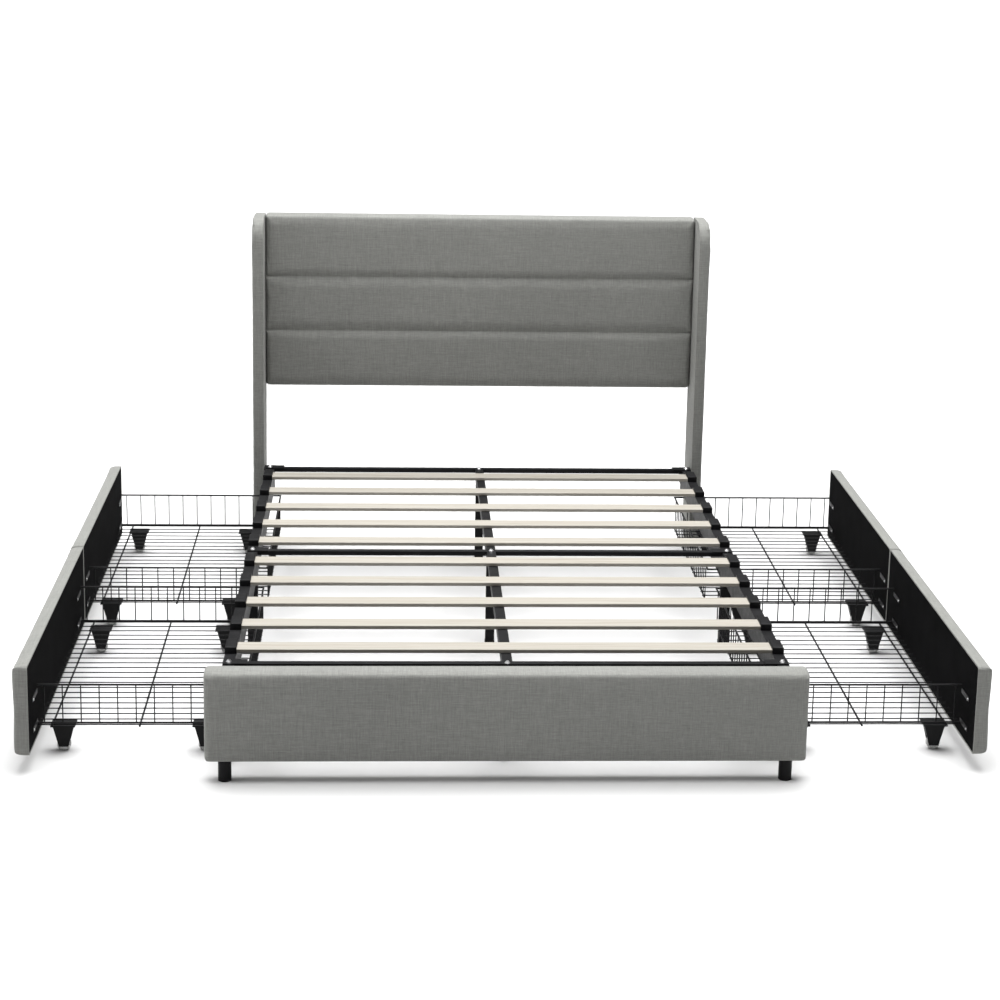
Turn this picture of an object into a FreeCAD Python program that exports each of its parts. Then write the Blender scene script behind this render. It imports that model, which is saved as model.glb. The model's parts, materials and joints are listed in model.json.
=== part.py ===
"""Full-size upholstered platform bed with a winged headboard and four rolling wire-basket drawers.

Frame: +Z up from the floor, +Y from the foot end to the headboard, +X to the right seen from the
foot, origin on the floor under the middle of the bed. Millimetres. The drawers stand pulled out,
which is the rest pose of their slides. Positions along the bed are measured from the back face of
the footboard, a plane that the sheet calls foot_plane.
"""
import FreeCAD, Part
import os
import re
import Sketcher
from FreeCAD import Placement, Rotation, Vector

os.makedirs("parts", exist_ok=True)
doc = FreeCAD.newDocument("platform_bed")

SIZES = [
    # whole bed
    ("bed_width", 1440), ("bed_length", 2042), ("bed_height", 1064),
    # footboard: upholstered board on two round feet
    ("foot_thick", 57), ("foot_low", 50), ("foot_high", 275), ("foot_round", 10),
    ("pole_dia", 32), ("pole_inset", 48),
    # headboard: channelled cushion on a board, held between two wings
    ("head_thick", 55), ("core_thick", 15), ("core_inset", 5), ("cushion_low", 507),
    ("wing_thick", 34), ("wing_deep", 160), ("wing_low", 10), ("wing_round", 70),
    ("wing_core", 16), ("wing_wrap", 10), ("cover_round", 8),
    # steel frame
    ("rail_outer", 679), ("rail_wide", 28), ("rail_tall", 70), ("deck_level", 272),
    ("steel_wall", 1.5), ("rail_start", 3), ("rail_end", 1825),
    ("bar_wide", 20), ("bar_tall", 12), ("bar_foot_at", 32), ("bar_middle_at", 928),
    ("bar_head_at", 1804), ("leg_back", 64), ("plate_long", 58), ("plate_wide", 32), ("plate_thick", 3),
    ("beam_side", 25), ("leg_wide", 28), ("leg_deep", 24), ("glide_tall", 8),
    ("bolt_dia", 6), ("bolt_head", 14), ("bolt_rise", 4.5), ("bolt_deep", 12),
    ("hook_long", 52), ("hook_low", 215), ("hook_high", 260),
    # slats and their holders
    ("slat_wide", 53), ("slat_thick", 10), ("slat_half", 667), ("slat_pitch", 172),
    ("slat_foot_first", 96), ("slat_head_first", 970), ("slat_round", 2),
    ("holder_rim", 4), ("holder_top", 7), ("holder_round", 3),
    # drawers: x values are distances from the middle of the bed in the pulled-out pose
    ("front_inner", 1138), ("front_thick", 37), ("front_low", 46), ("front_high", 271),
    ("front_core", 15), ("front_foot_start", 3), ("front_foot_end", 959),
    ("front_head_start", 962), ("front_head_end", 1822),
    # wire baskets
    ("basket_foot_start", 128), ("basket_head_start", 1052), ("basket_long", 755),
    ("basket_back", 630), ("basket_low", 70), ("basket_high", 181),
    ("frame_wire", 5), ("mesh_wire", 3), ("weld", 0.4), ("stud_pitch", 44.4),
    ("wire_near", 36), ("wire_middle", 248), ("wire_far", 425), ("stud_first", 18),
    ("strap_thick", 2), ("strap_long", 68), ("strap_tall", 12), ("strap_end", 6), ("screw_head", 6),
    # casters: the wheel turns about an axle along y
    ("wheel_dia", 34), ("wheel_wide", 13), ("axle_dia", 5), ("axle_play", 0.05),
    ("caster_near", 60), ("caster_far", 405), ("caster_end", 30),
    ("flange_long", 60), ("flange_wide", 44), ("flange_thick", 4), ("fork_top", 52),
    ("fork_foot", 23), ("fork_low", 12), ("fork_wide", 26), ("fork_gap", 15),
]
sheet = doc.addObject("Spreadsheet::Sheet", "Sizes")
for row, (name, value) in enumerate(SIZES, start=1):
    sheet.set("A%d" % row, name)
    sheet.set("B%d" % row, str(value))
    sheet.setAlias("B%d" % row, name)
doc.recompute()

FOOT_PLANE = "(foot_thick - bed_length / 2)"
FEET, HEAD = "foot", "head"
SIDES = {"left": -1, "right": 1}
nodes = {}


def size(name):
    return float(sheet.get(name))


def bound(text):
    """Turns plain names of cells into references to the sheet."""
    return re.sub(r"[a-z][a-z_]*", lambda word: "Sizes." + word.group(0), str(text))


def along(text):
    """A distance from the footboard's back face as a y value."""
    return FOOT_PLANE + " + " + str(text)


def place(item, x, y, z):
    for axis, value in zip("xyz", (x, y, z)):
        item.setExpression("Placement.Base." + axis, bound(value))
    return item


def keep(label, item):
    item.Label = label
    nodes[label] = item
    return item


def box(x, y, z, long_x, long_y, long_z):
    item = doc.addObject("Part::Box", "block")
    for name, value in (("Length", long_x), ("Width", long_y), ("Height", long_z)):
        item.setExpression(name, bound(value))
    return place(item, x, y, z)


def rod(x, y, z, dia, length, direction):
    """A round bar that starts at a point and runs along +x, +y or +z."""
    item = doc.addObject("Part::Cylinder", "rod")
    item.setExpression("Radius", bound("(%s) / 2" % dia))
    item.setExpression("Height", bound(length))
    turn = {"x": Rotation(Vector(0, 1, 0), 90), "y": Rotation(Vector(1, 0, 0), -90), "z": Rotation()}
    item.Placement = Placement(Vector(), turn[direction])
    return place(item, x, y, z)


def cut(base, tool):
    item = doc.addObject("Part::Cut", "cut")
    item.Base, item.Tool = base, tool
    return item


def fuse(items):
    item = doc.addObject("Part::MultiFuse", "fuse")
    item.Shapes = items
    return item


def group(items):
    item = doc.addObject("Part::Compound", "group")
    item.Links = items
    return item


def centred(x, y, z, long_x, long_y, long_z):
    """A box whose x and y are its middle and whose z is its bottom."""
    corner_x = "%s - (%s) / 2" % (x, long_x)
    corner_y = "%s - (%s) / 2" % (y, long_y)
    return box(corner_x, corner_y, z, long_x, long_y, long_z)


def mirrored_x(sign, low, long_x):
    """The smaller x of a span from low to low + long_x on the side that sign names."""
    return "(%s)" % low if sign > 0 else "-(%s) - (%s)" % (low, long_x)


def plane(body, role):
    return next(f for f in body.Origin.OriginFeatures if f.Role == role)


def dimension(sketch, kind, geo, point, value):
    """A driving distance of one sketch point from the origin."""
    sketch.addConstraint(Sketcher.Constraint(kind, geo, point, 1.0))
    sketch.setExpression("Constraints[%d]" % (sketch.ConstraintCount - 1), bound(value))


def rectangle(sketch, high_x, high_y):
    """A rectangle from the sketch origin to a bound corner."""
    first = sketch.GeometryCount
    corners = [Vector(0, 0, 0), Vector(10, 0, 0), Vector(10, 10, 0), Vector(0, 10, 0)]
    for i in range(4):
        sketch.addGeometry(Part.LineSegment(corners[i], corners[(i + 1) % 4]), False)
    for i in range(4):
        sketch.addConstraint(Sketcher.Constraint("Coincident", first + i, 2, first + (i + 1) % 4, 1))
        direction = "Horizontal" if i % 2 == 0 else "Vertical"
        sketch.addConstraint(Sketcher.Constraint(direction, first + i))
    sketch.addConstraint(Sketcher.Constraint("Coincident", first, 1, -1, 1))
    dimension(sketch, "DistanceX", first + 1, 2, high_x)
    dimension(sketch, "DistanceY", first + 1, 2, high_y)


def circle(sketch, dia):
    """A circle on the sketch origin."""
    first = sketch.GeometryCount
    sketch.addGeometry(Part.Circle(Vector(), Vector(0, 0, 1), 5), False)
    sketch.addConstraint(Sketcher.Constraint("Coincident", first, 3, -1, 1))
    sketch.addConstraint(Sketcher.Constraint("Diameter", first, 10.0))
    sketch.setExpression("Constraints[%d]" % (sketch.ConstraintCount - 1), bound(dia))


def padded_body(role, draw, length):
    """A PartDesign body: one sketch on an origin plane, padded by length."""
    body = doc.addObject("PartDesign::Body", "body")
    sketch = body.newObject("Sketcher::SketchObject", "outline")
    sketch.AttachmentSupport = (plane(body, role), [""])
    sketch.MapMode = "FlatFace"
    draw(sketch)
    pad = body.newObject("PartDesign::Pad", "pad")
    pad.Profile = sketch
    pad.setExpression("Length", bound(length))
    doc.recompute()
    return body


def round_edges(body, radius, wanted):
    """Rounds the edges of a body's tip for which wanted(edge) is true."""
    tip = body.Tip
    names = ["Edge%d" % i for i, edge in enumerate(tip.Shape.Edges, start=1) if wanted(edge)]
    fillet = body.newObject("PartDesign::Fillet", "round")
    fillet.Base = (tip, names)
    fillet.setExpression("Radius", bound(radius))
    doc.recompute()
    return body


def block_body(long_x, long_y, long_z):
    return padded_body("XY_Plane", lambda sketch: rectangle(sketch, long_x, long_y), long_z)


def edge_at(edge, **wanted):
    """True if both ends of an edge lie at the given x, y or z values in the body's own frame."""
    ends = [vertex.Point for vertex in edge.Vertexes]
    return all(abs(getattr(end, axis) - value) < 1e-3 for end in ends for axis, value in wanted.items())


def tube(x, y, z, long_x, long_y, long_z, direction):
    """A rectangular steel tube that is open along one direction."""
    spans = {"x": long_x, "y": long_y, "z": long_z}
    starts = {"x": x, "y": y, "z": z}
    inner_start = [a if n == direction else "%s + steel_wall" % a for n, a in starts.items()]
    inner_span = [s if n == direction else "%s - 2 * steel_wall" % s for n, s in spans.items()]
    return cut(box(x, y, z, long_x, long_y, long_z), box(*inner_start, *inner_span))


def upholstered(label, x, y, z, long_x, long_y, long_z, radius, pocket, bare_edge):
    """A soft cover over a board: a rounded block with the board's seat cut out of its hidden face."""
    body = block_body(long_x, long_y, long_z)
    round_edges(body, radius, lambda edge: not bare_edge(edge))
    place(body, x, y, z)
    return keep(label, cut(body, box(*pocket)))


def build_headboard():
    inner = "(bed_width / 2 - wing_thick)"
    back = "(bed_length / 2)"
    front = "%s - head_thick" % back
    span = "(bed_width - 2 * wing_thick)"
    core = ("-%s + core_inset" % inner, "%s - core_thick" % back, "cushion_low + core_inset",
            "%s - 2 * core_inset" % span, "core_thick", "bed_height - cushion_low - 2 * core_inset")
    keep("headboard_board", box(*core))
    depth = size("head_thick")
    upholstered("headboard_cushion", "-%s" % inner, front, "cushion_low", span, "head_thick",
                "bed_height - cushion_low", "foot_round", core, lambda edge: edge_at(edge, y=depth))
    for side, sign in SIDES.items():
        low = mirrored_x(sign, inner, "wing_thick")
        core_x = mirrored_x(sign, "%s + (wing_thick - wing_core) / 2" % inner, "wing_core")
        start = "%s - wing_deep" % back
        core = (core_x, "%s + wing_wrap" % start, "wing_low",
                "wing_core", "wing_deep - wing_wrap", "bed_height - wing_low - wing_wrap - wing_round / 4")
        board = block_body("wing_core", core[4], core[5])
        top = size("bed_height") - size("wing_low") - size("wing_wrap") - size("wing_round") / 4
        round_edges(board, "wing_round - wing_wrap", lambda edge: edge_at(edge, y=0, z=top))
        place(board, *core[:3])
        keep("wing_board_" + side, board)
        cover = block_body("wing_thick", "wing_deep", "bed_height - wing_low")
        crown = size("bed_height") - size("wing_low")
        round_edges(cover, "wing_round", lambda edge: edge_at(edge, y=0, z=crown))
        round_edges(cover, "cover_round", lambda edge: on_wing_rim(edge, crown))
        place(cover, low, start, "wing_low")
        seat = block_body("wing_core", core[4], core[5])
        round_edges(seat, "wing_round - wing_wrap", lambda edge: edge_at(edge, y=0, z=top))
        place(seat, *core[:3])
        keep("wing_cover_" + side, cut(cover, seat))


def on_wing_rim(edge, crown):
    """The long outline of a wing's two flat sides: front, rounded corner and top."""
    across = size("wing_thick")
    flat = all(min(abs(v.Point.x), abs(v.Point.x - across)) < 1e-3 for v in edge.Vertexes)
    same_side = abs(edge.Vertexes[0].Point.x - edge.Vertexes[-1].Point.x) < 1e-3
    return flat and same_side and not edge_at(edge, z=0) and not edge_at(edge, y=size("wing_deep"))


def build_footboard():
    front = "-bed_length / 2"
    core = ("-bed_width / 2 + core_inset", along("-core_thick"), "foot_low + core_inset",
            "bed_width - 2 * core_inset", "core_thick", "foot_high - foot_low - 2 * core_inset")
    keep("footboard_board", box(*core))
    depth = size("foot_thick")
    upholstered("footboard_cover", "-bed_width / 2", front, "foot_low", "bed_width", "foot_thick",
                "foot_high - foot_low", "foot_round", core, lambda edge: edge_at(edge, y=depth))
    feet = [rod("%d * (bed_width / 2 - pole_inset)" % sign, along("-foot_thick / 2"), "0",
                "pole_dia", "foot_low", "z") for sign in SIDES.values()]
    keep("footboard_feet", group(feet))


def bolt_places():
    """Middle of the rails and of the bed, over each of the three crossbars."""
    middle = "(rail_outer - rail_wide / 2)"
    for bar in ("bar_foot_at", "bar_middle_at", "bar_head_at"):
        for x in ("-" + middle, "0", middle):
            yield x, along(bar)


def build_frame():
    rail_z = "deck_level - rail_tall"
    holes = [rod(x, y, "deck_level - bolt_deep", "bolt_dia", "bolt_deep + 1", "z")
             for x, y in bolt_places()]
    for side, sign in SIDES.items():
        low = mirrored_x(sign, "rail_outer - rail_wide", "rail_wide")
        rail = tube(low, along("rail_start"), rail_z, "rail_wide", "rail_end - rail_start",
                    "rail_tall", "y")
        column = 0 if sign < 0 else 2
        keep("side_rail_" + side, cut(rail, group(holes[column::3])))
    span = "2 * (rail_outer - rail_wide)"
    for number, (name, bar) in enumerate((("foot", "bar_foot_at"), ("middle", "bar_middle_at"),
                                          ("head", "bar_head_at"))):
        bar_tube = tube("-" + span[4:], along(bar + " - bar_wide / 2"), "deck_level - bar_tall",
                        span, "bar_wide", "bar_tall", "x")
        keep("crossbar_" + name, cut(bar_tube, holes[3 * number + 1]))
    beams = []
    for start, end in (("bar_foot_at", "bar_middle_at"), ("bar_middle_at", "bar_head_at")):
        beams.append(tube("-beam_side / 2", along(start + " + bar_wide / 2"), "deck_level - beam_side",
                          "beam_side", "%s - %s - bar_wide" % (end, start), "beam_side", "y"))
    keep("centre_beam", group(beams))
    plates = []
    for sign in SIDES.values():
        for bar in ("bar_foot_at", "bar_middle_at", "bar_head_at"):
            low = mirrored_x(sign, "rail_outer - plate_long", "plate_long")
            plate = box(low, along(bar + " - plate_wide / 2"), "deck_level",
                        "plate_long", "plate_wide", "plate_thick")
            hole = rod("%d * (rail_outer - rail_wide / 2)" % sign, along(bar), "deck_level - 1",
                       "bolt_dia", "plate_thick + 2", "z")
            plates.append(cut(plate, hole))
    keep("crossbar_plates", group(plates))
    bolts = []
    for x, y in bolt_places():
        seat = "deck_level" if x == "0" else "deck_level + plate_thick"
        shank = rod(x, y, "deck_level - bolt_deep", "bolt_dia", seat + " - deck_level + bolt_deep", "z")
        head = doc.addObject("Part::Cone", "head")
        head.setExpression("Radius1", bound("bolt_head / 2"))
        head.setExpression("Radius2", bound("bolt_head / 4"))
        head.setExpression("Height", bound("bolt_rise"))
        bolts.append(fuse([shank, place(head, x, y, seat)]))
    keep("frame_bolts", group(bolts))
    fittings = [box(mirrored_x(sign, "rail_outer - rail_wide + 2", hook_width()),
                    along("rail_end"), "hook_low", hook_width(), "hook_long", "hook_high - hook_low")
                for sign in SIDES.values()]
    fittings += [box(mirrored_x(sign, "rail_outer - rail_wide", "rail_wide"), along("0"), rail_z,
                     "rail_wide", "rail_start", "rail_tall") for sign in SIDES.values()]
    keep("rail_end_fittings", group(fittings))


def hook_width():
    """From inside the rail to the inner face of the wing."""
    return "(bed_width / 2 - wing_thick - rail_outer + rail_wide - 2)"


def build_legs():
    side_x = "(rail_outer - rail_wide / 2)"
    legs, glides = [], []
    for sign in SIDES.values():
        for y in ("bar_foot_at + leg_back", "bar_middle_at"):
            legs.append(leg("%d * %s" % (sign, side_x), y, "leg_wide", "leg_deep", "rail_tall", glides))
    keep("side_legs", group(legs))
    middle = [leg("0", y, "beam_side", "beam_side", "beam_side", glides)
              for y in ("bar_foot_at + leg_back", "bar_middle_at", "bar_head_at - leg_back")]
    keep("centre_legs", group(middle))
    for sign in SIDES.values():
        for back in ("wing_deep - 3 * wing_wrap", "3 * wing_wrap"):
            glides.append(centred("%d * (bed_width / 2 - wing_thick / 2)" % sign,
                                  "bed_length / 2 - (%s)" % back, "0",
                                  "wing_core", "wing_core", "wing_low"))
    keep("leg_glides", group(glides))


def leg(x, y, wide, deep, hanger, glides):
    """An upright tube from its plastic glide to the member above it."""
    glides.append(centred(x, along(y), "0", wide + " + 2", deep + " + 2", "glide_tall"))
    return tube("%s - %s / 2" % (x, wide), "%s - %s / 2" % (along(y), deep), "glide_tall",
                wide, deep, "deck_level - %s - glide_tall" % hanger, "z")


def build_slats():
    holders = []
    for name, first in ((FEET, "slat_foot_first"), (HEAD, "slat_head_first")):
        slats = []
        for number in range(5):
            y = along("%s + %d * slat_pitch" % (first, number))
            slat = block_body("2 * slat_half", "slat_wide", "slat_thick")
            round_edges(slat, "slat_round", lambda edge: abs(edge.Length - 2 * size("slat_half")) < 1e-3)
            slats.append(place(slat, "-slat_half", y, "deck_level"))
            holders += [holder(sign, y) for sign in SIDES.values()]
        keep("slats_" + name, group(slats))
    keep("slat_holders", group(holders))


def holder(sign, y):
    """A plastic cap on the rail that takes one end of a slat."""
    low = mirrored_x(sign, "rail_outer - rail_wide", "rail_wide")
    shell = block_body("rail_wide", "slat_wide + 2 * holder_rim", "slat_thick + holder_top")
    top = size("slat_thick") + size("holder_top")
    round_edges(shell, "holder_round", lambda edge: edge_at(edge, z=top))
    place(shell, low, "%s - holder_rim" % y, "deck_level")
    mouth = mirrored_x(sign, "rail_outer - rail_wide - 1", "slat_half - rail_outer + rail_wide + 1")
    return cut(shell, box(mouth, y, "deck_level - 1",
                          "slat_half - rail_outer + rail_wide + 1", "slat_wide", "slat_thick + 1"))


def build_drawer(side, end):
    """Front board, its cover, the basket, its screws and the four casters of one drawer."""
    sign = SIDES[side]
    name = "%s_%s" % (side, end)
    start, stop = "front_%s_start" % end, "front_%s_end" % end
    long_y = "(%s - %s)" % (stop, start)
    core = (mirrored_x(sign, "front_inner", "front_core"), along(start + " + core_inset"),
            "front_low + core_inset", "front_core", long_y + " - 2 * core_inset",
            "front_high - front_low - 2 * core_inset")
    keep("drawer_board_" + name, box(*core))
    inner_x = 0 if sign > 0 else size("front_thick")
    upholstered("drawer_cover_" + name, mirrored_x(sign, "front_inner", "front_thick"), along(start),
                "front_low", "front_thick", long_y, "front_high - front_low", "cover_round", core,
                lambda edge: edge_at(edge, x=inner_x))
    basket_start = "basket_%s_start" % end
    straps, screws = fixings(sign, basket_start)
    keep("basket_" + name, group(basket(sign, basket_start) + straps))
    keep("basket_screws_" + name, group(screws))
    keep("casters_" + name, group([piece for x, y in caster_places(sign, basket_start)
                                   for piece in caster(x, y)]))
    for number, (x, y) in enumerate(caster_places(sign, basket_start), start=1):
        keep("wheel_%s_%d" % (name, number), wheel(x, y))


def basket(sign, start):
    """Four welded wire grilles: floor, two ends and back. The front is the drawer board."""
    front, back = "front_inner - strap_thick", "basket_back"
    deep = "(%s - %s)" % (front, back)
    floor_z = "basket_low + frame_wire / 2"
    mesh_z = "basket_low + frame_wire + mesh_wire / 2 - weld"
    low = mirrored_x(sign, back, deep)
    floor = [rod("%d * (front_inner - %s)" % (sign, gap), along(start), floor_z, "frame_wire",
                 "basket_long", "y") for gap in ("wire_near", "wire_middle", "wire_far")]
    count = 21
    for i in range(count + 1):
        y = "%s + mesh_wire / 2 + %d / %d * (basket_long - mesh_wire)" % (start, i, count)
        floor.append(rod(low, along(y), mesh_z, "mesh_wire", deep, "x"))
    rim_z = "basket_high - frame_wire / 2"
    stud_low = "basket_low + frame_wire + mesh_wire"
    grilles = [fuse(floor)]
    for y in (start + " + frame_wire / 2", start + " + basket_long - frame_wire / 2"):
        wires = [rod(low, along(y), rim_z, "frame_wire", deep, "x"),
                 rod(low, along(y), stud_low + " + frame_wire / 2", "frame_wire", deep, "x")]
        for i in range(11):
            x = "%d * (front_inner - stud_first - %d * stud_pitch)" % (sign, i)
            wires.append(rod(x, along(y), stud_low + " + frame_wire / 2", "mesh_wire",
                             "basket_high - frame_wire / 2 - (%s + frame_wire / 2)" % stud_low, "z"))
        grilles.append(fuse(wires))
    back_x = "%d * (basket_back + frame_wire / 2)" % sign
    gap = "(frame_wire + 0.3)"
    wires = [rod(back_x, along("%s + %s" % (start, gap)), z, "frame_wire",
                 "basket_long - 2 * %s" % gap, "y") for z in (rim_z, stud_low + " + frame_wire / 2")]
    for i in range(1, count):
        y = "%s + mesh_wire / 2 + %d / %d * (basket_long - mesh_wire)" % (start, i, count)
        wires.append(rod(back_x, along(y), stud_low + " + frame_wire / 2", "mesh_wire",
                         "basket_high - frame_wire / 2 - (%s + frame_wire / 2)" % stud_low, "z"))
    grilles.append(fuse(wires))
    return grilles


def fixings(sign, start):
    """Flat straps at the front ends of the wires, and the screws that hold them to the drawer board."""
    straps, screws = [], []
    low = mirrored_x(sign, "front_inner - strap_thick", "strap_thick")
    head = mirrored_x(sign, "front_inner - 2 * strap_thick", "strap_thick")
    near = start + " + strap_end - strap_long"
    far = start + " + basket_long - strap_long"
    for y, z in ((y, z) for y in (near, far) for z in
                 ("basket_high - 2 * strap_tall", "basket_low + 2 * frame_wire")):
        straps.append(box(low, along(y), z, "strap_thick", "strap_long", "strap_tall"))
        screws.append(rod(head, along(y + " + strap_tall / 2"), z + " + strap_tall / 2",
                          "screw_head", "strap_thick", "x"))
    return straps, screws


def caster_places(sign, start):
    for x in ("caster_near", "caster_far"):
        for y in ("%s + caster_end" % start, "%s + basket_long - caster_end" % start):
            yield "%d * (front_inner - %s)" % (sign, x), along(y)


def caster(x, y):
    """A fixed fork under a screw flange, and the axle through it."""
    seat = "(basket_low - flange_thick)"
    flange = centred(x, y, seat, "flange_long", "flange_wide", "flange_thick")
    tall = "(%s - fork_low)" % seat
    fork = doc.addObject("Part::Wedge", "fork")
    limits = {"Xmin": "-fork_foot / 2", "Xmax": "fork_foot / 2", "X2min": "-fork_top / 2",
              "X2max": "fork_top / 2", "Ymin": "0", "Ymax": tall, "Zmin": "-fork_wide / 2",
              "Zmax": "fork_wide / 2", "Z2min": "-fork_wide / 2", "Z2max": "fork_wide / 2"}
    for name, value in limits.items():
        fork.setExpression(name, bound(value))
    fork.Placement = Placement(Vector(), Rotation(Vector(1, 0, 0), 90))
    place(fork, x, y, "fork_low")
    body = fuse([flange, fork])
    slot = centred(x, y, "0", "flange_long", "fork_gap", "wheel_dia + 3")
    bore = rod(x, "%s - fork_wide" % y, "wheel_dia / 2", "axle_dia", "2 * fork_wide", "y")
    axle = rod(x, "%s - fork_wide / 2 - 1" % y, "wheel_dia / 2", "axle_dia", "fork_wide + 2", "y")
    return [cut(body, fuse([slot, bore])), axle]


def wheel(x, y):
    """A plastic roller on its axle, with rounded tread edges."""
    def draw(sketch):
        circle(sketch, "wheel_dia")
        circle(sketch, "axle_dia + 2 * axle_play")
    body = padded_body("XZ_Plane", draw, "wheel_wide")
    radius = size("wheel_dia") / 2
    round_edges(body, "wheel_wide / 6", lambda edge: edge.Length > 6 * radius)
    return place(body, x, "%s + wheel_wide / 2" % y, "wheel_dia / 2")


build_headboard()
build_footboard()
build_frame()
build_legs()
build_slats()
for drawer_side in SIDES:
    for drawer_end in (FEET, HEAD):
        build_drawer(drawer_side, drawer_end)
doc.recompute()

broken = [item.Label for item in doc.Objects if {"Invalid", "Error"} & set(item.State)]
broken += [label for label, item in nodes.items() if item.Shape.isNull() or not item.Shape.isValid()]
if broken:
    raise SystemExit("not built: " + ", ".join(broken))
for label, item in nodes.items():
    item.Shape.exportStep("parts/%s.step" % label)
print(len(nodes), "nodes,", sum(len(item.Shape.Solids) for item in nodes.values()), "solids")
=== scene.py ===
"""Looks of the upholstered platform bed: linen covers, powder-coated steel, pale slats, wire baskets."""

import json
import math

import bmesh
import bpy
import numpy as np
from mathutils import Matrix, Vector


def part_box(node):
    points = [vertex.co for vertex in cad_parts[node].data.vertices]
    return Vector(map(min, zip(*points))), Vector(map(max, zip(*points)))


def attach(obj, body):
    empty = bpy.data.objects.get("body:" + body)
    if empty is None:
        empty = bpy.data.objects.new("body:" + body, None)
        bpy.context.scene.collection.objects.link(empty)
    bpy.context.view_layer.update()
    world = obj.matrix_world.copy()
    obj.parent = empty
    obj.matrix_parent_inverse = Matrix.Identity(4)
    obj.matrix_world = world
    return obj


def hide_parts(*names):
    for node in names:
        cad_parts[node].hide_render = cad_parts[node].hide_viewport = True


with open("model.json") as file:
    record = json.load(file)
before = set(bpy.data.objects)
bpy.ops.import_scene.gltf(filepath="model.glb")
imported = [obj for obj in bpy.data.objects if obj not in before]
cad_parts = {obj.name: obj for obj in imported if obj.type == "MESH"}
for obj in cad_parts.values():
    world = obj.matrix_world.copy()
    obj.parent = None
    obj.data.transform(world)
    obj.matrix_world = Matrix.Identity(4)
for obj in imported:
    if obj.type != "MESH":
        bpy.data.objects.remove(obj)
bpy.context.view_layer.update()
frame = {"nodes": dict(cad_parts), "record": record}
NODES = frame["nodes"]
SIDES = {"left": -1, "right": 1}
ENDS = ("foot", "head")


# ---------------------------------------------------------------- materials
class Shader:
    """A node material: each call adds a node and links or sets its inputs."""

    def __init__(self, name):
        self.material = bpy.data.materials.new(name)
        self.material.use_nodes = True
        self.tree = self.material.node_tree
        self.surface = self.tree.nodes["Principled BSDF"]
        self.place = self.add("ShaderNodeTexCoord").outputs["Object"]
        self.facing = self.place.node.outputs["Normal"]

    def add(self, kind, inputs=None, **settings):
        node = self.tree.nodes.new(kind)
        for name, value in settings.items():
            setattr(node, name, value)
        for name, value in (inputs or {}).items():
            self.put(node.inputs[name], value)
        return node

    def put(self, socket, value):
        if isinstance(value, bpy.types.NodeSocket):
            self.tree.links.new(value, socket)
        elif isinstance(value, bpy.types.Node):
            self.tree.links.new(value.outputs[0], socket)
        else:
            socket.default_value = value

    def math(self, operation, a, b=0.0):
        return self.add("ShaderNodeMath", {0: a, 1: b}, operation=operation).outputs[0]

    def split(self, vector):
        return self.add("ShaderNodeSeparateXYZ", {0: vector}).outputs

    def join(self, x, y, z):
        return self.add("ShaderNodeCombineXYZ", {0: x, 1: y, 2: z}).outputs[0]

    def scaled(self, vector, scale):
        return self.add("ShaderNodeMapping", {"Vector": vector, "Scale": scale}).outputs[0]

    def noise(self, vector, scale, detail=2.0, roughness=0.5):
        return self.add("ShaderNodeTexNoise", {"Vector": vector, "Scale": scale, "Detail": detail,
                                               "Roughness": roughness}).outputs["Fac"]

    def ramp(self, value, *stops):
        node = self.add("ShaderNodeValToRGB", {"Fac": value})
        elements = node.color_ramp.elements
        while len(elements) < len(stops):
            elements.new(0.5)
        for element, (at, colour) in zip(elements, stops):
            element.position = at
            element.color = (*colour, 1.0)
        return node.outputs["Color"]

    def between(self, value, low, high, to_low, to_high):
        return self.add("ShaderNodeMapRange", {"Value": value, "From Min": low, "From Max": high,
                                               "To Min": to_low, "To Max": to_high}).outputs[0]

    def mix(self, amount, a, b):
        node = self.add("ShaderNodeMix", data_type="RGBA")
        self.put(node.inputs[0], amount)
        self.put(node.inputs[6], a)
        self.put(node.inputs[7], b)
        return node.outputs[2]

    def blend(self, amount, a, b):
        return self.add("ShaderNodeMix", {0: amount, 2: a, 3: b}).outputs[0]

    def bump(self, height, strength, distance):
        node = self.add("ShaderNodeBump", {"Height": height, "Strength": strength,
                                           "Distance": distance})
        self.put(self.surface.inputs["Normal"], node)

    def set(self, **values):
        for name, value in values.items():
            self.put(self.surface.inputs[name.replace("_", " ")], value)
        return self.material


def colour(red, green, blue, factor=1.0):
    return (red * factor, green * factor, blue * factor)


THREAD_PHASE = 3900.0  # radians per metre: one wave of the weave is 1.6 mm long


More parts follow.
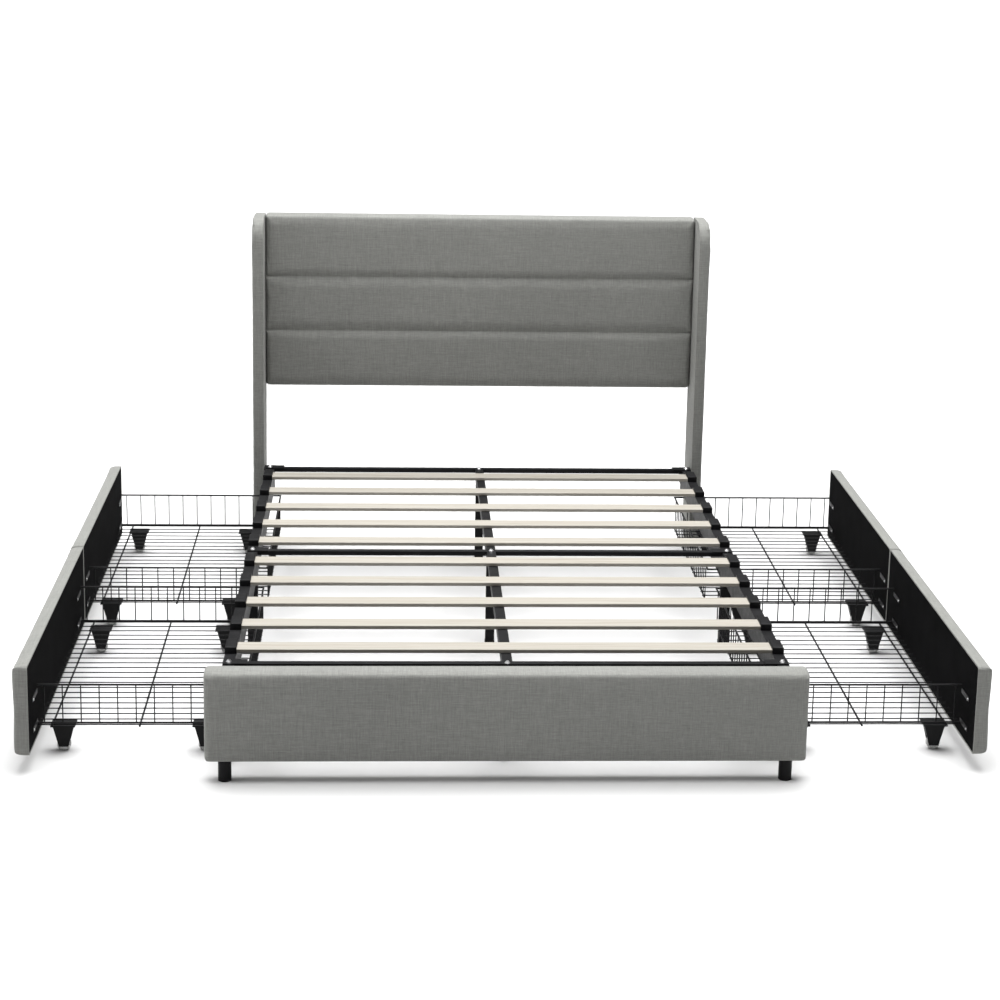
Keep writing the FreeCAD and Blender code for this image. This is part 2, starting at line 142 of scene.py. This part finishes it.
def linen(name, base):
    """Plain-woven upholstery: crossing threads with slubs, faint mottling and a soft sheen."""
    m = Shader(name)
    x, y, z = m.split(m.place)
    nx, ny, nz = (m.math("ABSOLUTE", n) for n in m.split(m.facing))
    faces_side = m.math("GREATER_THAN", nx, m.math("MAXIMUM", ny, nz))
    faces_up = m.math("GREATER_THAN", nz, m.math("MAXIMUM", nx, ny))
    u = m.blend(faces_side, x, y)
    v = m.blend(faces_up, z, m.blend(faces_side, y, x))
    flat = m.join(u, v, m.math("MULTIPLY", m.math("ADD", x, m.math("ADD", y, z)), 0.05))
    weft = m.noise(m.scaled(flat, (70.0, 900.0, 9.0)), 1.0, 2.0)
    warp = m.noise(m.scaled(flat, (800.0, 60.0, 7.0)), 1.0, 2.0)
    slub_along = m.noise(m.scaled(flat, (20.0, 420.0, 6.0)), 1.0, 3.0, 0.6)
    slub_up = m.noise(m.scaled(flat, (450.0, 18.0, 8.0)), 1.0, 3.0, 0.6)
    slub = m.math("ADD", m.math("MULTIPLY", slub_along, 0.5), m.math("MULTIPLY", slub_up, 0.5))
    broad = m.noise(m.place, 3.5, 2.0)
    across = m.math("SINE", m.math("MULTIPLY", u, THREAD_PHASE))
    down = m.math("SINE", m.math("MULTIPLY", v, THREAD_PHASE))
    weave = m.math("MULTIPLY", across, down)
    thread = m.math("ADD", m.math("MULTIPLY", weft, 0.55), m.math("MULTIPLY", warp, 0.45))
    tone = m.math("ADD", m.math("MULTIPLY", thread, 0.42), m.math("MULTIPLY", slub, 0.5))
    tone = m.math("ADD", tone, m.math("MULTIPLY", broad, 0.08))
    body = m.ramp(tone, (0.36, colour(*base, 0.7)), (0.5, base), (0.64, colour(*base, 1.3)))
    height = m.math("ADD", m.math("MULTIPLY", weave, 0.12), m.math("ADD", thread, slub))
    m.bump(height, 0.5, 0.0007)
    return m.set(Base_Color=body, Roughness=m.between(thread, 0.3, 0.7, 0.86, 0.97),
                 Sheen_Weight=0.1, Sheen_Roughness=0.55, Sheen_Tint=(0.95, 0.95, 0.93, 1.0),
                 Specular_IOR_Level=0.25)


def lining(name):
    """Black felted lining over board."""
    m = Shader(name)
    fibre = m.noise(m.place, 900.0, 4.0, 0.7)
    patch = m.noise(m.place, 14.0, 3.0)
    tone = m.math("ADD", m.math("MULTIPLY", fibre, 0.6), m.math("MULTIPLY", patch, 0.4))
    body = m.ramp(tone, (0.35, (0.0015, 0.0015, 0.0015)), (0.65, (0.0055, 0.0055, 0.006)))
    m.bump(fibre, 0.35, 0.0005)
    return m.set(Base_Color=body, Roughness=m.between(fibre, 0.3, 0.7, 0.86, 0.97),
                 Specular_IOR_Level=0.02)


def powder_coat(name, base, rough, grain):
    """Textured powder coat over steel, a little lighter where it has been rubbed."""
    m = Shader(name)
    peel = m.noise(m.place, grain, 2.0)
    rubbed = m.noise(m.place, 26.0, 5.0, 0.65)
    body = m.ramp(rubbed, (0.45, base), (0.78, colour(*base, 1.9)))
    m.bump(peel, 0.3, 0.0004)
    return m.set(Base_Color=body, Roughness=m.between(rubbed, 0.3, 0.75, rough, rough + 0.14),
                 Specular_IOR_Level=0.1)


def slat_wood(name):
    """Planed pale poplar: grain along the slat, a different tone on every slat."""
    m = Shader(name)
    board = m.noise(m.scaled(m.place, (0.02, 6.1, 0.02)), 1.0, 0.0)
    wave = m.noise(m.scaled(m.place, (1.3, 9.0, 9.0)), 2.0, 3.0)
    x, y, z = m.split(m.place)
    bent = m.join(x, m.math("ADD", y, m.math("MULTIPLY", wave, 0.05)), z)
    grain = m.noise(m.scaled(bent, (2.2, 150.0, 110.0)), 1.0, 5.0, 0.62)
    pores = m.noise(m.scaled(m.place, (45.0, 1500.0, 1100.0)), 1.0, 2.0)
    body = m.ramp(grain, (0.32, (0.225, 0.207, 0.174)), (0.5, (0.268, 0.252, 0.220)),
                  (0.68, (0.298, 0.283, 0.253)))
    body = m.mix(m.between(board, 0.3, 0.7, 0.0, 0.22), body, (0.285, 0.252, 0.202, 1.0))
    body = m.mix(m.between(pores, 0.62, 0.8, 0.0, 0.25), body, (0.19, 0.155, 0.11, 1.0))
    m.bump(m.math("ADD", grain, m.math("MULTIPLY", pores, 0.5)), 0.25, 0.0005)
    return m.set(Base_Color=body, Roughness=m.between(grain, 0.3, 0.7, 0.62, 0.5))


def moulded(name, base, rough, shine, through=0.0):
    """Moulded plastic with a fine spark-eroded grain."""
    m = Shader(name)
    grain = m.noise(m.place, 1400.0, 2.0)
    haze = m.noise(m.place, 40.0, 4.0)
    body = m.ramp(haze, (0.35, colour(*base, 0.8)), (0.65, colour(*base, 1.2)))
    m.bump(grain, 0.25, 0.0003)
    return m.set(Base_Color=body, Roughness=m.between(haze, 0.3, 0.7, rough, rough + 0.12),
                 Transmission_Weight=through, Specular_IOR_Level=shine)


def zinc(name):
    """Zinc-plated steel with turned marks."""
    m = Shader(name)
    cloud = m.noise(m.place, 160.0, 4.0)
    lines = m.noise(m.scaled(m.place, (300.0, 300.0, 4000.0)), 1.0, 2.0)
    body = m.ramp(cloud, (0.35, (0.52, 0.52, 0.53)), (0.65, (0.78, 0.78, 0.78)))
    m.bump(lines, 0.2, 0.0002)
    return m.set(Base_Color=body, Metallic=1.0, Roughness=m.between(cloud, 0.3, 0.7, 0.22, 0.42))


LINEN = linen("linen", (0.176, 0.178, 0.167))
MATERIALS = {
    "upholstery": LINEN,
    "board": lining("black_lining"),
    "black_steel": powder_coat("black_steel", (0.007, 0.007, 0.0075), 0.42, 900.0),
    "wire": powder_coat("coated_wire", (0.006, 0.006, 0.0065), 0.36, 1500.0),
    "slat_wood": slat_wood("slat_wood"),
    "black_plastic": moulded("black_plastic", (0.007, 0.007, 0.0075), 0.45, 0.12),
    "wheel": moulded("wheel_plastic", (0.66, 0.66, 0.65), 0.22, 0.5, 0.4),
    "zinc": zinc("zinc"),
}
for row in frame["record"]["subparts"]:
    mesh = NODES[row["node"]].data
    mesh.materials.clear()
    mesh.materials.append(MATERIALS[row["material_slot"]])


# ---------------------------------------------------------------- upholstery
# Lengths are in metres.
WIDE_EDGE = 0.012  # edge radius of the headboard and footboard
NARROW_EDGE = 0.009  # edge radius of the wings and drawer fronts
EDGE_STEPS = 5  # grid lines over a rounded edge
GRID = 0.012
HEADBOARD_GRID = 0.011
RIM_STEP = 0.0004  # width of the wall of the board's seat
POCKET = (0.005, 0.015)  # rim width and depth of the board's seat
BACK_LAP = 0.0005  # how far a padding's hidden face stands behind its CAD cover
SEAM_HEIGHTS = (0.692, 0.867)
SEAM_DEEP = 0.006
SEAM_HALF_WIDTH = 0.007
SEAM_PINNED = 0.0012
SEAM_LINES = (-0.012, -0.006, -0.0025, 0.0, 0.0025, 0.006, 0.012)
CLOTH_FRAMES = 20


def stations(low, high, step, radius, extra=()):
    """Grid lines from low to high: dense over the rounded edges, then about step apart."""
    edge = [radius * (1 - math.cos(math.pi / 2 * i / EDGE_STEPS)) for i in range(EDGE_STEPS + 1)]
    values = {round(low + e, 6) for e in edge} | {round(high - e, 6) for e in edge}
    values |= {round(v, 6) for v in extra}
    marks = sorted(values)
    for a, b in zip(list(marks), list(marks)[1:]):
        count = int((b - a) / step)
        values |= {round(a + (b - a) * i / (count + 1), 6) for i in range(1, count + 1)}
    return sorted(values)


def outline(p, size, radii, edge):
    """Maps a point of the lattice onto the piece's rounded outline.

    Returns the point, its depth inside the outline and the outward direction there."""
    half = [s / 2 for s in size]
    sign = [1 if c >= 0 else -1 for c in p]
    radius = max(radii[(sign[0] > 0, sign[1] > 0)], edge)
    centre = [(half[i] - radius) * sign[i] for i in (0, 1)]
    out = [(p[i] - centre[i]) * sign[i] for i in (0, 1)]
    if out[0] > 0 and out[1] > 0:
        reach = max(out)
        span = math.hypot(*out)
        out = [o * reach / span for o in out]
        point = [centre[i] + out[i] * sign[i] for i in (0, 1)]
        return point, radius - reach, [out[i] / reach * sign[i] for i in (0, 1)]
    gaps = [half[i] - abs(p[i]) for i in (0, 1)]
    i = 0 if gaps[0] < gaps[1] else 1
    direction = [0.0, 0.0]
    direction[i] = sign[i]
    return list(p), gaps[i], direction


def slab(name, size, radii, edge, step, pocket=None, seams=(), seam_deep=0.0):
    """A padded slab in its own frame: a across, b up, c out of its face; c is 0 at the hidden face.

    pocket is (rim width, depth) of the board's seat in the hidden face; seams are b values."""
    long_a, long_b, thick = size
    near = [s + off for s in seams for off in SEAM_LINES]
    ends_a = (long_a / 2, -long_a / 2)
    ends_b = (long_b / 2, -long_b / 2)
    rims_a, rims_b = [], []
    if pocket:
        for inset in (pocket[0], pocket[0] + RIM_STEP):
            rims_a += [e - math.copysign(inset, e) for e in ends_a]
            rims_b += [e - math.copysign(inset, e) for e in ends_b]
    lines_a = stations(-long_a / 2, long_a / 2, step, edge, rims_a)
    lines_b = stations(-long_b / 2, long_b / 2, step, edge, rims_b + near)
    lines_c = stations(0.0, thick, step, edge / 2, [thick - edge])
    bm = bmesh.new()
    table = {}

    def vertex(i, j, k):
        key = (i, j, k)
        if key in table:
            return table[key]
        (a, b), depth, out = outline((lines_a[i], lines_b[j]), size[:2], radii, edge)
        c = lines_c[k]
        side_in = max(edge - depth, 0.0)
        front_in = max(c - (thick - edge), 0.0)
        if k == 0 and pocket and depth > pocket[0] + RIM_STEP / 2:
            c = pocket[1]
        if side_in > 0 and front_in > 0:
            span = math.hypot(side_in, front_in)
            shift = edge * side_in / span - side_in
            a, b = a + out[0] * shift, b + out[1] * shift
            c = thick - edge + edge * front_in / span
        table[key] = bm.verts.new((a, b, c))
        return table[key]

    last = (len(lines_a) - 1, len(lines_b) - 1, len(lines_c) - 1)
    for fixed in range(3):
        first, second = [axis for axis in range(3) if axis != fixed]
        for level in (0, last[fixed]):
            for m in range(last[first]):
                for n in range(last[second]):
                    corners = []
                    for dm, dn in ((0, 0), (1, 0), (1, 1), (0, 1)):
                        key = [0, 0, 0]
                        key[fixed], key[first], key[second] = level, m + dm, n + dn
                        corners.append(vertex(*key))
                    bm.faces.new(corners)
    for vert in bm.verts:
        for s in seams:
            if vert.co.z > thick - edge:
                vert.co.z -= seam_deep * max(0.0, 1 - abs(vert.co.y - s) / SEAM_HALF_WIDTH)
    bmesh.ops.recalc_face_normals(bm, faces=bm.faces)
    mesh = bpy.data.meshes.new(name)
    bm.to_mesh(mesh)
    bm.free()
    item = bpy.data.objects.new(name, mesh)
    bpy.context.scene.collection.objects.link(item)
    return item


def inflate(item, size, edge, pressure, cap, seams=()):
    """Blows the face of a slab up by cloth simulation; its sides, back and seams are held.

    No point moves further than cap."""
    thick = size[2]
    start = np.array([v.co for v in item.data.vertices])
    held = item.vertex_groups.new(name="held")
    pinned = [v.index for v in item.data.vertices
              if v.co.z < thick - edge * 1.2 or any(abs(v.co.y - s) < SEAM_PINNED for s in seams)]
    held.add(pinned, 1.0, "REPLACE")
    moved = start
    cloth = item.modifiers.new("Cloth", "CLOTH")
    settings = cloth.settings
    settings.quality = 5
    settings.mass = 0.3
    settings.tension_stiffness = 18
    settings.compression_stiffness = 18
    settings.bending_stiffness = 0.6
    settings.use_pressure = True
    settings.uniform_pressure_force = pressure
    settings.vertex_group_mass = "held"
    settings.shrink_min = -0.006
    settings.effector_weights.gravity = 0
    scene = bpy.context.scene
    for number in range(1, CLOTH_FRAMES + 1):
        scene.frame_set(number)
    shape = item.evaluated_get(bpy.context.evaluated_depsgraph_get()).to_mesh()
    moved = np.array([v.co for v in shape.vertices])
    item.modifiers.remove(cloth)
    scene.frame_set(1)
    shift = moved - start
    far = np.linalg.norm(shift, axis=1, keepdims=True)
    shift *= np.minimum(1.0, cap / np.maximum(far, 1e-9))
    item.data.vertices.foreach_set("co", (start + shift).ravel())
    item.vertex_groups.clear()


def finish_piece(item, body, node, matrix):
    """Puts a slab in its place on the bed, hangs it on its body and hides the CAD part it stands for."""
    item.data.transform(matrix)
    if matrix.determinant() < 0:
        item.data.flip_normals()
    for face in item.data.polygons:
        face.use_smooth = True
    smooth = item.modifiers.new("Subdivision", "SUBSURF")
    smooth.levels = smooth.render_levels = 1
    item.data.materials.append(LINEN)
    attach(item, body)
    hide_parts(node)


def axes(a, b, c, origin):
    """The matrix that takes a slab's a, b and c directions and origin to the bed's frame."""
    matrix = Matrix.Identity(4)
    for column, direction in enumerate((a, b, c)):
        for row_number in range(3):
            matrix[row_number][column] = direction[row_number]
    matrix.translation = Vector(origin)
    return matrix


def corner_radii(value, **special):
    """Radii of the outline's corners, keyed by (right, top); special names a corner, as left_top."""
    radii = {(right, top): value for right in (False, True) for top in (False, True)}
    for name, radius in special.items():
        radii[("right" in name, "top" in name)] = radius
    return radii


def build_headboard():
    low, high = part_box("headboard_cushion")
    swell = 0.003  # room left for the face to rise
    size = (high.x - low.x, high.z - low.z, high.y - low.y - swell)
    middle = (low.z + high.z) / 2
    seams = [height - middle for height in SEAM_HEIGHTS]
    item = slab("headboard_padding", size, corner_radii(WIDE_EDGE), WIDE_EDGE, HEADBOARD_GRID,
                pocket=POCKET, seams=seams, seam_deep=SEAM_DEEP)
    inflate(item, size, WIDE_EDGE, pressure=4.0, cap=0.0032, seams=seams)
    finish_piece(item, "bed_frame", "headboard_cushion",
                 axes((1, 0, 0), (0, 0, 1), (0, -1, 0), (0, high.y + BACK_LAP, middle)))


def build_wings():
    shoulder = 0.070  # radius of the top corner that faces the foot of the bed
    behind, below = 0.0015, 0.001  # how far the padding passes its CAD cover there
    for side, sign in SIDES.items():
        low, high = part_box("wing_cover_" + side)
        size = (high.y - low.y + behind, high.z - low.z + below, high.x - low.x)
        radii = corner_radii(NARROW_EDGE, left_top=shoulder)
        item = slab("wing_padding_" + side, size, radii, NARROW_EDGE, GRID)
        inflate(item, size, NARROW_EDGE, pressure=2.0, cap=0.002)
        x = high.x if sign < 0 else low.x
        finish_piece(item, "bed_frame", "wing_cover_" + side,
                     axes((0, 1, 0), (0, 0, 1), (sign, 0, 0),
                          (x, (low.y + high.y + behind) / 2, (low.z + high.z - below) / 2)))


def build_footboard():
    low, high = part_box("footboard_cover")
    swell = 0.002
    size = (high.x - low.x, high.z - low.z, high.y - low.y - swell)
    item = slab("footboard_padding", size, corner_radii(WIDE_EDGE), WIDE_EDGE, GRID, pocket=POCKET)
    inflate(item, size, WIDE_EDGE, pressure=3.0, cap=0.002)
    finish_piece(item, "bed_frame", "footboard_cover",
                 axes((1, 0, 0), (0, 0, 1), (0, -1, 0),
                      (0, high.y + BACK_LAP, (low.z + high.z) / 2)))


def build_drawers():
    swell = 0.002
    for end in ENDS:
        for side, sign in SIDES.items():
            name = "%s_%s" % (side, end)
            low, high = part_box("drawer_cover_" + name)
            size = (high.y - low.y, high.z - low.z, high.x - low.x - swell)
            item = slab("drawer_padding_" + name, size, corner_radii(NARROW_EDGE), NARROW_EDGE, GRID,
                        pocket=POCKET)
            inflate(item, size, NARROW_EDGE, pressure=3.0, cap=0.0025)
            x = high.x if sign < 0 else low.x
            finish_piece(item, "drawer_" + name, "drawer_cover_" + name,
                         axes((0, 1, 0), (0, 0, 1), (sign, 0, 0),
                              (x - sign * BACK_LAP, (low.y + high.y) / 2, (low.z + high.z) / 2)))


build_headboard()
build_wings()
build_footboard()
build_drawers()


# ---------------------------------------------------------------- floor, light and camera
def build_floor():
    mesh = bpy.data.meshes.new("floor")
    reach = 40.0
    mesh.from_pydata([(-reach, -reach, 0), (reach, -reach, 0), (reach, reach, 0), (-reach, reach, 0)],
                     [], [(0, 1, 2, 3)])
    floor = bpy.data.objects.new("floor", mesh)
    bpy.context.scene.collection.objects.link(floor)
    m = Shader("pale_floor")
    cloud = m.noise(m.place, 0.6, 2.0)
    body = m.ramp(cloud, (0.3, (0.53, 0.53, 0.53)), (0.7, (0.55, 0.55, 0.55)))
    floor.data.materials.append(m.set(Base_Color=body, Roughness=0.95, Specular_IOR_Level=0.0))


def area_light(name, place, target, width, power):
    lamp = bpy.data.lights.new(name, "AREA")
    lamp.shape = "SQUARE"
    lamp.size = width
    lamp.energy = power
    item = bpy.data.objects.new(name, lamp)
    bpy.context.scene.collection.objects.link(item)
    item.location = place
    item.rotation_euler = (Vector(target) - Vector(place)).to_track_quat("-Z", "Y").to_euler()


def sun(name, direction, strength, spread):
    lamp = bpy.data.lights.new(name, "SUN")
    lamp.energy = strength
    lamp.angle = math.radians(spread)
    item = bpy.data.objects.new(name, lamp)
    bpy.context.scene.collection.objects.link(item)
    item.rotation_euler = Vector(direction).to_track_quat("-Z", "Y").to_euler()


def build_camera():
    """A long lens from in front of the foot of the bed and above it; angles are in radians."""
    pitch, yaw, roll = 0.2103, 0.0517, 0.0187
    place = (-0.2864, -5.8521, 2.0903)
    forward = Vector((math.sin(yaw) * math.cos(pitch), math.cos(yaw) * math.cos(pitch),
                      -math.sin(pitch)))
    right = Vector((math.cos(yaw), -math.sin(yaw), 0))
    up = right.cross(forward)
    turned_right = math.cos(roll) * right + math.sin(roll) * up
    turned_up = math.cos(roll) * up - math.sin(roll) * right
    data = bpy.data.cameras.new("camera")
    data.lens = 78.03
    data.sensor_width = 36.0
    data.shift_y = -0.15
    data.clip_end = 200.0
    camera = bpy.data.objects.new("camera", data)
    bpy.context.scene.collection.objects.link(camera)
    camera.matrix_world = axes(turned_right, turned_up, -forward, place)
    bpy.context.scene.camera = camera


build_floor()
sun("overhead", (0.0, -0.16, -1.0), 7.5, 62.0)
sun("left_fill", (1.0, 0.1, -0.5), 0.8, 60.0)
area_light("head_fill", (0.0, -0.1, 2.6), (0.0, 1.0, 0.75), 1.4, 34.0)
world = bpy.data.worlds.new("studio")
world.use_nodes = True
world.node_tree.nodes["Background"].inputs["Color"].default_value = (1.0, 1.0, 1.0, 1.0)
world.node_tree.nodes["Background"].inputs["Strength"].default_value = 0.10
bpy.context.scene.world = world
bpy.context.scene.view_settings.view_transform = "Standard"
build_camera()
